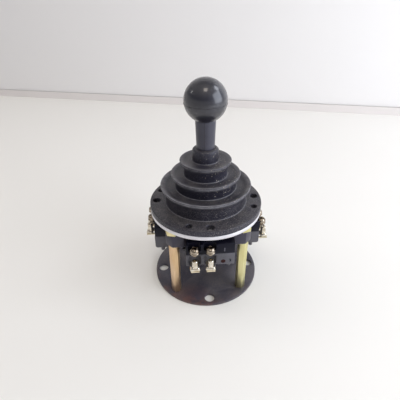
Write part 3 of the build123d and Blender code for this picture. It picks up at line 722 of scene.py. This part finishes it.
def makeBall(values):
    deselectAll()
    bpy.ops.mesh.primitive_uv_sphere_add(
        segments=96,
        ring_count=64,
        radius=values["radius"] * mm,
        location=(0, 0, values["middle"] * mm),
    )
    ball = settle(bpy.context.object)
    ball.name = "ballKnob"
    startEdit(ball)
    bpy.ops.mesh.select_all(action="SELECT")
    bpy.ops.mesh.bisect(
        plane_co=(0, 0, values["flat"] * mm), plane_no=(0, 0, 1), use_fill=True, clear_inner=True
    )
    # the parting line is a narrow band that stands proud
    low = values["partingHeight"] - values["partingWidth"] / 2
    high = values["partingHeight"] + values["partingWidth"] / 2
    for height in (low, high):
        bpy.ops.mesh.select_all(action="SELECT")
        bpy.ops.mesh.bisect(plane_co=(0, 0, height * mm), plane_no=(0, 0, 1))
    pick(ball, "FACE", lambda centre, normal: low < centre.z < high)
    bpy.ops.mesh.extrude_region_shrink_fatten(
        TRANSFORM_OT_shrink_fatten={"value": values["partingRise"] * mm}
    )
    endEdit()
    # the flat underneath, with the bore for the threaded insert
    flat, near = values["flat"], 0.05  # near is how close counts as on the flat
    pick(ball, "FACE", lambda centre, normal: normal.z < -0.99 and abs(centre.z - flat) < near)
    bpy.ops.mesh.inset(thickness=(values["flatRadius"] - values["boreRadius"]) * mm)
    bpy.ops.mesh.extrude_region_move(
        TRANSFORM_OT_translate={"value": (0, 0, values["boreDepth"] * mm)}
    )
    endEdit()
    outside = (values["flatRadius"] + values["boreRadius"]) / 2
    pick(
        ball,
        "EDGE",
        lambda *ends: all(abs(end.z - flat) < near and end.xy.length > outside for end in ends),
    )
    bpy.ops.mesh.bevel(offset=values["rimRound"] * mm, segments=3)
    endEdit()
    smooth(ball, degrees=40)
    hand(ball, "ball_plastic", "lever", "ball_knob")


makeBall(ballKnob)
print("ball knob done")


# sleeve
leverSleeve = {
    "corners": [
        (5.03, 121.0, 0),
        (7.6, 121.0, 0.3),
        (7.6, 134.6, 0),
        (8.37, 157.7, 0.3),
        (8.4, 158.2, 0.2),
        (8.0, 158.6, 0.2),
        (5.03, 158.6, 0),
    ],
    "seamAcross": -1.1,
    "seamDepth": 7.0,
    "seamWidth": 0.5,
    "seamRise": 0.2,
}


def makeSleeve(values):
    sleeve = turned("leverSleeve", values["corners"], steps=72)
    half, across, depth = values["seamWidth"] / 2, values["seamAcross"], values["seamDepth"]
    startEdit(sleeve)
    for side in (-half, half):
        bpy.ops.mesh.select_all(action="SELECT")
        bpy.ops.mesh.bisect(plane_co=((across + side) * mm, 0, 0), plane_no=(1, 0, 0))
    # two upright strips, one in front and one behind, but not in the bore
    pick(
        sleeve,
        "FACE",
        lambda centre, normal: abs(centre.x - across) < half
        and abs(centre.y) > depth
        and abs(normal.z) < 0.3,
    )
    bpy.ops.mesh.extrude_region_shrink_fatten(
        TRANSFORM_OT_shrink_fatten={"value": values["seamRise"] * mm}
    )
    endEdit()
    smooth(sleeve, degrees=38)
    hand(sleeve, "sleeve_plastic", "lever", "lever_sleeve")


makeSleeve(leverSleeve)
print("sleeve done")


# rubber boot in two halves: the lower one goes with base and gimbal, the upper one with gimbal and
# lever
boot = {
    "lowerCorners": [
        (50.0, 80.1, 0.3),
        (50.0, 85.2, 0.8),
        (36.0, 85.2, 1.3),
        (36.0, 95.1, 4.5),
        (39.65, 100.9, 0.5),
        (39.8, 101.5, 0.4),
        (39.45, 102.1, 0.35),
        (38.8, 102.1, 0.4),
        (33.2, 99.3, 3.2),
        (29.0, 99.3, 0),
        (29.0, 97.5, 0),
        (35.6, 97.5, 0.8),
        (34.2, 96.0, 1.0),
        (34.2, 80.1, 0),
    ],
    "upperCorners": [
        (29.0, 99.3, 0),
        (26.7, 99.3, 1.2),
        (26.7, 105.3, 4.0),
        (30.05, 111.1, 0.5),
        (30.2, 111.7, 0.4),
        (29.85, 112.3, 0.35),
        (29.2, 112.3, 0.4),
        (23.9, 110.7, 3.0),
        (18.8, 110.7, 1.2),
        (18.8, 117.5, 4.0),
        (21.95, 123.3, 0.5),
        (22.1, 123.9, 0.4),
        (21.75, 124.5, 0.35),
        (21.1, 124.5, 0.4),
        (15.6, 123.6, 2.6),
        (11.1, 123.6, 1.2),
        (11.1, 133.2, 0.9),
        (9.6, 134.6, 0.9),
        (7.63, 134.6, 0),
        (7.63, 121.8, 0),
        (18.5, 121.8, 0.8),
        (17.0, 118.4, 1.0),
        (17.0, 108.9, 0.5),
        (26.6, 108.9, 0.8),
        (24.9, 106.2, 1.0),
        (24.9, 97.5, 0),
        (29.0, 97.5, 0),
    ],
    "flangeFoot": 80.1,
    "flangeTop": 85.2,
    "holeCircle": 44.0,
    "largeHole": 3.4,
    "smallHole": 2.7,
    "smallHoleTurn": -22.5,
    "holeEdge": 0.4,
    "lowerBend": (0.0855, 0.0973),
    "upperBend": (0.0993, 0.1236),
    # places along the outline, how near a point has to be to one, and how far it is rubbed pale and
    # painted with highlight
    "rubbedAndPaintedHighlight": (
        (((39.1, 102.1), (29.5, 112.3), (21.4, 124.5)), 0.62, 0.6),
        (((39.65, 100.9), (30.05, 111.1), (21.95, 123.3)), 0.45, 1.0),
        (((36.4, 85.25), (27.0, 99.35), (19.1, 110.75), (11.4, 123.65)), 0.4, 0.45),
    ),
}


def holeCutter(radius, values):
    # wider at both ends, so that the hole's edges come out broken
    bottom, top, edge = values["flangeFoot"], values["flangeTop"], values["holeEdge"]
    return turned(
        "drill",
        [
            (0, bottom - 1, 0),
            (radius + edge, bottom - 1, 0),
            (radius + edge, bottom, 0),
            (radius, bottom + edge, 0),
            (radius, top - edge, 0),
            (radius + edge, top, 0),
            (radius + edge, top + 1, 0),
            (0, top + 1, 0),
        ],
        steps=40,
    )


def rubAndPaintHighlightEdges(piece, values):
    # how far each point is rubbed pale and painted with highlight, kept with the mesh so that it
    # follows the bending boot
    share = piece.data.attributes.new("rubbedAndPaintedHighlightEdge", "FLOAT", "POINT")
    for vertex in piece.data.vertices:
        place = Vector((vertex.co.xy.length, vertex.co.z)) / mm
        amount = 0.0
        for spots, reach, most in values["rubbedAndPaintedHighlight"]:
            for spot in spots:
                if (place - Vector(spot)).length < reach:
                    amount = max(amount, most)
        share.data[vertex.index].value = amount


def makeBoot(values):
    lower = turned("bootLower", values["lowerCorners"], steps=144)
    for label, radius, turnDegrees in (
        ("large", values["largeHole"], 0),
        ("small", values["smallHole"], values["smallHoleTurn"]),
    ):
        drill = holeCutter(radius, values)
        drills = []
        for index in range(4):
            angle = math.radians(turnDegrees + 90 * index)
            across = values["holeCircle"] * math.cos(angle)
            depthwise = values["holeCircle"] * math.sin(angle)
            shift = (across, depthwise, 0)
            drills.append(copied(drill, "drill" + label + str(index), shift=shift))
        remove(drill)
        cutWith(lower, joined("drills", drills))
    upper = turned("bootUpper", values["upperCorners"], steps=144)
    for piece, bodies, bend in (
        (lower, ("base", "gimbal"), values["lowerBend"]),
        (upper, ("gimbal", "lever"), values["upperBend"]),
    ):
        smooth(piece, degrees=34)
        rubAndPaintHighlightEdges(piece, values)
        handBending(piece, "boot_rubber", "rubber_boot")


makeBoot(boot)
print("boot done")


# return spring and the four small contact springs
returnSpring = {
    "wire": 1.0,
    "footRadius": 19.0,
    "headRadius": 11.0,
    "foot": 80.53,
    "head": 112.47,
    "turns": 4.5,
    "pointsPerTurn": 40,
    "split": 2.4,
    "seamHalf": 0.0012,
    "headHeld": 1.0,
}
contactSpring = {
    "wire": 0.3,
    "radius": 1.5,
    "across": 5.2,
    "height": 53.0,
    "inner": 35.42,
    "outer": 42.58,
    "turns": 5.0,
    "pointsPerTurn": 20,
}


def wirePiece(name, points, radius):
    curve = bpy.data.curves.new(name, "CURVE")
    curve.dimensions = "3D"
    spline = curve.splines.new("POLY")
    spline.points.add(len(points) - 1)
    for point, place in zip(spline.points, points):
        point.co = (*[value * mm for value in place], 1)
    curve.bevel_depth = radius * mm
    curve.bevel_resolution = 3
    curve.use_fill_caps = True
    piece = bpy.data.objects.new(name, curve)
    scene.collection.objects.link(piece)
    choose(piece)
    bpy.ops.object.convert(target="MESH")
    piece = bpy.context.object
    tidyMesh(piece, closeness=0.0005)
    smooth(piece, degrees=50)
    return piece


def makeReturnSpring(values):
    narrows = values["headRadius"] - values["footRadius"]
    rises = values["head"] - values["foot"]

    def coil(start, end):
        points = []
        count = int((end - start) * values["pointsPerTurn"]) + 1
        for index in range(count + 1):
            turn = start + (end - start) * index / count
            share = turn / values["turns"]
            radius = values["footRadius"] + narrows * share
            angle = turn * math.tau
            height = values["foot"] + rises * share
            points.append((radius * math.cos(angle), radius * math.sin(angle), height))
        return points

    seam = (values["foot"] + rises * values["split"] / values["turns"]) * mm
    lower = wirePiece("returnSpringLower", coil(0, values["split"]), values["wire"])
    upper = wirePiece("returnSpringUpper", coil(values["split"], values["turns"]), values["wire"])
    for piece, bodies, low, high in (
        (lower, ("base", "gimbal"), values["foot"] * mm, seam - values["seamHalf"]),
        (
            upper,
            ("gimbal", "lever"),
            seam + values["seamHalf"],
            (values["head"] - values["headHeld"]) * mm,
        ),
    ):
        handBending(piece, "spring_steel", "return_spring")


def makeContactSprings(values):
    points = []
    count = int(values["turns"] * values["pointsPerTurn"])
    for index in range(count + 1):
        share = index / count
        angle = share * values["turns"] * math.tau
        points.append(
            (
                values["across"] + values["radius"] * math.cos(angle),
                -(values["inner"] + (values["outer"] - values["inner"]) * share),
                values["height"] + values["radius"] * math.sin(angle),
            )
        )
    first = wirePiece("contactSpring", points, values["wire"])
    for index, side in enumerate(sides):
        quarter = index * math.pi / 2
        spring = copied(first, "contactSpring_" + side, quarter)
        outward = Vector((0, -1, 0))
        outward.rotate(Matrix.Rotation(quarter, 3, "Z"))
        handBending(spring, "spring_steel", "contact_spring_" + side)
    remove(first)


makeReturnSpring(returnSpring)
makeContactSprings(contactSpring)
print("springs done")


# terminal screws
terminals = {
    "columns": (-13.3, -0.3),
    "upperOut": 49.9,
    "upperSeat": 64.5,
    "upperTurns": (0.5, 0.12),
    "lowerOut": 52.6,
    "lowerSeat": 49.5,
    "lowerTurns": (0.06, -0.08),
    "sideLift": 1.4,
    "washer": [(1.7, 0, 0), (3.95, 0, 0.2), (3.95, 0.8, 0.3), (3.5, 1.2, 0.2), (1.7, 1.2, 0)],
    "head": [
        (0, 1.1, 0),
        (3.5, 1.1, 0.2),
        (3.75, 1.5, 0.2),
        (3.75, 3.3, 1.5),
        (2.6, 4.8, 1.6),
        (0, 4.95, 0),
    ],
    "shank": [(0, -3.2, 0), (1.35, -3.2, 0), (1.75, -2.8, 0), (1.75, 1.15, 0), (0, 1.15, 0)],
    "barrel": [
        (0, 2.5, 0),
        (2.6, 2.5, 0),
        (2.4, 3.0, 0.3),
        (2.4, 8.4, 0.4),
        (2.0, 9.0, 0.3),
        (0, 9.0, 0),
    ],
    "lowerShank": [(0, -3.0, 0), (1.35, -3.0, 0), (1.75, -2.6, 0), (1.75, 2.55, 0), (0, 2.55, 0)],
    "clampHalf": (4.3, 3.2),
    "clampHeight": 2.6,
    "clampTopScale": 0.74,
    "clampUpright": 1.6,
    "clampCornerRound": 1.3,
    "clampEdgeRound": 0.3,
    "upperRecess": {"top": 4.95, "depth": 2.4, "arm": 2.9, "width": 1.5, "slotReach": 4.2},
    "lowerRecess": {"top": 9.0, "depth": 1.3, "arm": 1.4, "width": 0.85, "slotReach": 3.4},
    "recessFootScale": (0.45, 0.8, 1),
    "slotHalf": 0.38,
    "slotDepthShare": 0.55,
}


def crossCutter(recess, values):
    # a cross recess with tapered arms, and a plain slot along one of them
    top, depth, arm = recess["top"], recess["depth"], recess["arm"]
    half, reach = recess["width"] / 2, recess["slotReach"]
    parts = []
    for turn in (0, math.pi / 2):
        bar = boxPiece("bar", (-arm, -half, top - depth), (arm, half, top + 1))
        pick(bar, "FACE", lambda centre, normal: normal.z < -0.9)
        bpy.ops.transform.resize(value=values["recessFootScale"])
        endEdit()
        parts.append(copied(bar, "bar", turn))
        remove(bar)
    cutter = parts[0]
    cutWith(cutter, parts[1], "UNION")
    half, foot = values["slotHalf"], top - depth * values["slotDepthShare"]
    slot = boxPiece("slot", (-reach, -half, foot), (reach, half, top + 1.2))
    cutWith(cutter, slot, "UNION")
    return cutter


def makeUpperScrew(values):
    head = turned("head", values["head"], steps=40, segments=4)
    cutWith(head, crossCutter(values["upperRecess"], values))
    washer = turned("washer", values["washer"], steps=40, segments=3)
    shank = turned("shank", values["shank"], steps=24, segments=3)
    screw = joined("upperScrew", [head, washer, shank])
    smooth(screw, degrees=35)
    return screw


def makeLowerScrew(values):
    barrel = turned("barrel", values["barrel"], steps=40, segments=4)
    cutWith(barrel, crossCutter(values["lowerRecess"], values))
    wide, deep = values["clampHalf"]
    clamp = boxPiece("clamp", (-wide, -deep, 0), (wide, deep, values["clampHeight"]))
    pick(clamp, "FACE", lambda centre, normal: normal.z > 0.9)
    scale = values["clampTopScale"]
    bpy.ops.transform.resize(value=(scale, scale, 1))
    endEdit()
    # only the upright edges are this short when seen from above
    pick(clamp, "EDGE", lambda a, b: (a - b).xy.length < values["clampUpright"])
    bpy.ops.mesh.bevel(offset=values["clampCornerRound"] * mm, segments=4)
    endEdit()
    bevelEdges(clamp, values["clampEdgeRound"], degrees=40)
    shank = turned("shank", values["lowerShank"], steps=24, segments=3)
    screw = joined("lowerScrew", [barrel, clamp, shank])
    smooth(screw, degrees=35)
    return screw


def makeTerminals(values):
    upper = makeUpperScrew(values)
    lower = makeLowerScrew(values)
    for index, side in enumerate(sides):
        quarter = index * math.pi / 2
        for screw, label, look in (
            # the upper screws take the darker plating copy as painted shade, the lower ones the
            # bright plating
            (upper, "upper", "plating_painted_shade"),
            (lower, "lower", "terminal_plated"),
        ):
            # no two screws stop at the same turn
            out, seat, turns = (values[label + key] for key in ("Out", "Seat", "Turns"))
            if label == "lower" and side in ("left", "right"):
                seat = seat + values["sideLift"]
            copies = []
            for across, turn in zip(values["columns"], turns):
                twin = copied(screw, "screw", turn * (1 + index), (across, -out, seat))
                twin.data.transform(Matrix.Rotation(quarter, 4, "Z"))
                copies.append(twin)
            group = joined(label + "Terminals_" + side, copies)
            hand(group, "terminal_plated", "base", "terminal_screws_" + side, look=look)
    remove(upper)
    remove(lower)


makeTerminals(terminals)
print("terminal screws done")


# housing, plates, standoffs and contact blocks with broken edges
softNodes = {
    # node: piece, slot and width of its broken edges
    "housing": ("housingSoft", "housing_plastic", 0.6),
    "mounting_ring": ("mounting_ringSoft", "ring_metal", 0.4),
    "base_plate": ("base_plateSoft", "plate_black", 0.3),
    "hex_spacers": ("hex_spacersSoft", "yellow_zinc", 0.2),
}
for corner in corners:
    softNodes["standoff_" + corner] = ("standoffSoft_" + corner, "yellow_zinc", 0.3)
for side in sides:
    softNodes["contact_base_" + side] = ("contact_base_" + side + "_soft", "block_grey", 0.55)
    softNodes["contact_cover_" + side] = ("contact_cover_" + side + "_soft", "block_black", 0.4)


def makeSoftNodes(values):
    for node, (name, slotName, width) in values.items():
        piece = softCopy(node, name, width)
        hand(piece, slotName, "base", node, look="spacer_zinc" if node == "hex_spacers" else None)


makeSoftNodes(softNodes)
print("housing, ring, plate, standoffs and blocks done")


# small marks and the contact rivet on each block's face
blockMarks = {
    "coverFace": 46.9,
    "coverLook": "block_mark",
    "baseFace": 47.3,
    "baseLook": "block_black",
    "rise": 0.22,
    "sink": 0.1,
    "numbers": (
        ("1", 11.8, 62.0, 5.0, "cover"),
        ("2", 16.8, 50.9, 3.6, "base"),
    ),
    "rivet": [
        (0, -0.25, 0),
        (2.0, -0.25, 0),
        (2.0, 0.05, 0.1),
        (1.6, 0.3, 0.15),
        (1.1, 0.3, 0.1),
        (0.85, 0.12, 0.1),
        (0, 0.1, 0),
    ],
    "bolder": 0.14,
    "rivetAcross": 10.8,
    "rivetHeight": 51.2,
}


def setUpright(piece, across, out, height):
    # a flat or turned shape made lying down now faces the front
    stand = Matrix.Rotation(math.pi / 2, 4, "X")
    piece.data.transform(Matrix.Translation(Vector((across, -out, height)) * mm) @ stand)


def makeMark(text, across, height, size, face, values):
    deselectAll()
    bpy.ops.object.text_add(location=(0, 0, 0))
    mark = bpy.context.object
    mark.name = "mark"
    mark.data.body = text
    mark.data.size = size * mm
    mark.data.offset = values["bolder"] * mm
    mark.data.align_x = "CENTER"
    mark.data.extrude = (values["rise"] + values["sink"]) / 2 * mm
    mark.data.resolution_u = 4
    choose(mark)
    bpy.ops.object.convert(target="MESH")
    mark = bpy.context.object
    tidyMesh(mark, closeness=0.001)
    out = values[face + "Face"] + (values["rise"] - values["sink"]) / 2
    setUpright(mark, across, out, height)
    return mark


def makeBlockMarks(values):
    marks = {}
    for text, across, height, size, face in values["numbers"]:
        marks[face] = makeMark(text, across, height, size, face, values)
    rivet = turned("rivet", values["rivet"], steps=32, segments=3)
    setUpright(rivet, values["rivetAcross"], values["baseFace"], values["rivetHeight"])
    smooth(rivet, degrees=35)
    for index, side in enumerate(sides):
        quarter = index * math.pi / 2
        for face, mark in marks.items():
            number = copied(mark, face + "Number_" + side, quarter)
            hand(number, "block_grey", "base", look=values[face + "Look"])
        contact = copied(rivet, "contactRivet_" + side, quarter)
        hand(contact, "brass", "base", look="rivet_copper")
    for spare in (*marks.values(), rivet):
        remove(spare)


makeBlockMarks(blockMarks)
print("block marks done")


# every CAD node that stays gets its finish
nodeFinish = {
    "gimbal_ring": "gimbal_steel",
    "gimbal_outer_pins": "shaft_steel",
    "gimbal_inner_pin": "shaft_steel",
    "lever_shaft": "shaft_steel",
    "actuator": "nylon",
    "actuator_clip": "spring_steel",
    "knob_insert": "brass",
    "lock_nut": "screw_steel",
    "spring_cup": "nylon",
    "gate_plate": "screw_steel",
    "gate_spacers": "screw_steel",
    "gate_screws": "screw_steel",
    "plate_screws": "screw_steel",
    "block_screws": "screw_steel",
    # the strips carry painted shade behind the upper screws
    "terminal_strips": "tab_painted_shade",
    "contact_bridge": "terminal_plated",
    "plunger": "plunger_red",
}
for name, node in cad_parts.items():
    if node.hide_render:
        continue
    key = name if name in nodeFinish else name.rsplit("_", 1)[0]
    for slot in node.material_slots:
        slot.material = finishes[nodeFinish[key]]
print("CAD nodes dressed")


# room and lamps
room = {
    "tableEdge": 0.585,
    "tableSize": (2.4, 2.4),
    "tablePlace": (0.22, -0.35, 0),
    "wallTurn": -15.5,
    "wallHeight": 3.0,
    "wallGap": 0.003,
    "stripHeight": 0.018,
    "tableColour": (0.82, 0.808, 0.785),
    "wallColour": (0.885, 0.87, 0.865),
    "stripColour": (0.80, 0.76, 0.745),
    "clouding": 0.97,
    "overhead": (0.58, 0.56, 0.535),
    "horizon": (0.1, 0.105, 0.14),
    "skyFades": (0.12, 0.85),
    "seen": (0.6, 0.59, 0.58),
    "seenFades": (0.12, 0.28),
}


def plainSurface(name, colour, clouding):
    finish = Finish(name, Roughness=0.7)
    cloud = finish.grain(3.0, 3.0)
    darker = tuple(value * clouding for value in colour)
    finish.feed("Base Color", finish.blend(finish.between(cloud, 0.3, 0.7), darker, colour))
    return finish.material


def makeRoom(values):
    def plane(name, size, place, turn, colour):
        deselectAll()
        bpy.ops.mesh.primitive_plane_add(size=1, location=place, rotation=turn)
        surface = bpy.context.object
        surface.name = name
        surface.scale = (size[0], size[1], 1)
        surface.data.materials.append(plainSurface(name + "Finish", colour, values["clouding"]))

    edge, turn = values["tableEdge"], math.radians(values["wallTurn"])
    upright = (math.pi / 2, 0, turn)
    wide = values["tableSize"][0]
    strip, wall = values["stripHeight"], values["wallHeight"]
    wallPlace = (0, edge + values["wallGap"], wall / 2 + strip)
    plane("table", values["tableSize"], values["tablePlace"], (0, 0, turn), values["tableColour"])
    plane("strip", (wide, strip), (0, edge, strip / 2), upright, values["stripColour"])
    plane("wall", (wide, wall), wallPlace, upright, values["wallColour"])


def makeSky(values):
    world = bpy.data.worlds.new("roomLight")
    scene.world = world
    world.use_nodes = True
    sky = Nodes(world.node_tree)
    direction = sky.add("ShaderNodeTexCoord", output="Generated")
    rise = sky.add("ShaderNodeSeparateXYZ", {}, {0: direction}, "Z")
    upward = sky.between(rise, *values["skyFades"], kind="SMOOTHSTEP")
    light = sky.blend(upward, values["horizon"], values["overhead"])
    # low down, the far room is plain and pale to the camera, metal and gloss, and lights nothing
    low = 1 - sky.between(rise, *values["seenFades"], kind="SMOOTHSTEP")
    camera, glossy, through = (
        sky.add("ShaderNodeLightPath", output=ray)
        for ray in ("Is Camera Ray", "Is Glossy Ray", "Is Transmission Ray")
    )
    colour = sky.blend((camera + glossy + through) * low, light, values["seen"])
    sky.tree.links.new(colour.socket, sky.tree.nodes["Background"].inputs["Color"])


lamps = {
    "window": {
        "place": (0.94, -0.45, 0.5),
        "size": (0.9, 0.88),
        "watts": 8.6,
        "colour": (0.87, 0.92, 1.0),
    },
    "windowTop": {
        "place": (0.80, 0.06, 1.0),
        "size": (0.34, 0.36),
        "watts": 2.1,
        "colour": (0.9, 0.94, 1.0),
    },
    "ceiling": {
        "place": (-0.036, -0.48, 1.27),
        "size": (0.34, 0.34),
        "watts": 1.9,
        "colour": (1.0, 0.9, 0.78),
    },
    "leftLamp": {
        "place": (-0.845, 0.166, 0.68),
        "size": (0.08, 0.12),
        "watts": 0.3,
        "colour": (1.0, 0.98, 0.95),
    },
    "rightFill": {
        "place": (0.62, -0.62, 0.3),
        "size": (0.6, 0.4),
        "watts": 2.5,
        "colour": (0.9, 0.94, 1.0),
        "mirrored": False,
    },
    "leftCeiling": {
        "place": (-0.9, 0.35, 1.35),
        "size": (0.9, 0.9),
        "watts": 4.0,
        "colour": (1.0, 0.96, 0.9),
        "mirrored": False,
    },
}


def makeLamps(values, aim):
    for name, lamp in values.items():
        bpy.ops.object.light_add(type="AREA", location=lamp["place"])
        light = bpy.context.object
        light.name = name
        light.data.shape = "RECTANGLE"
        light.data.size, light.data.size_y = lamp["size"]
        light.data.energy = lamp["watts"]
        light.data.color = lamp["colour"]
        light.visible_glossy = lamp.get("mirrored", True)
        away = Vector(aim) - light.location
        light.rotation_euler = away.to_track_quat("-Z", "Y").to_euler()


makeRoom(room)
makeSky(room)
makeLamps(lamps, aim=(0, 0, 0.1))
scene.view_settings.view_transform = "Standard"
print("room and lamps done")
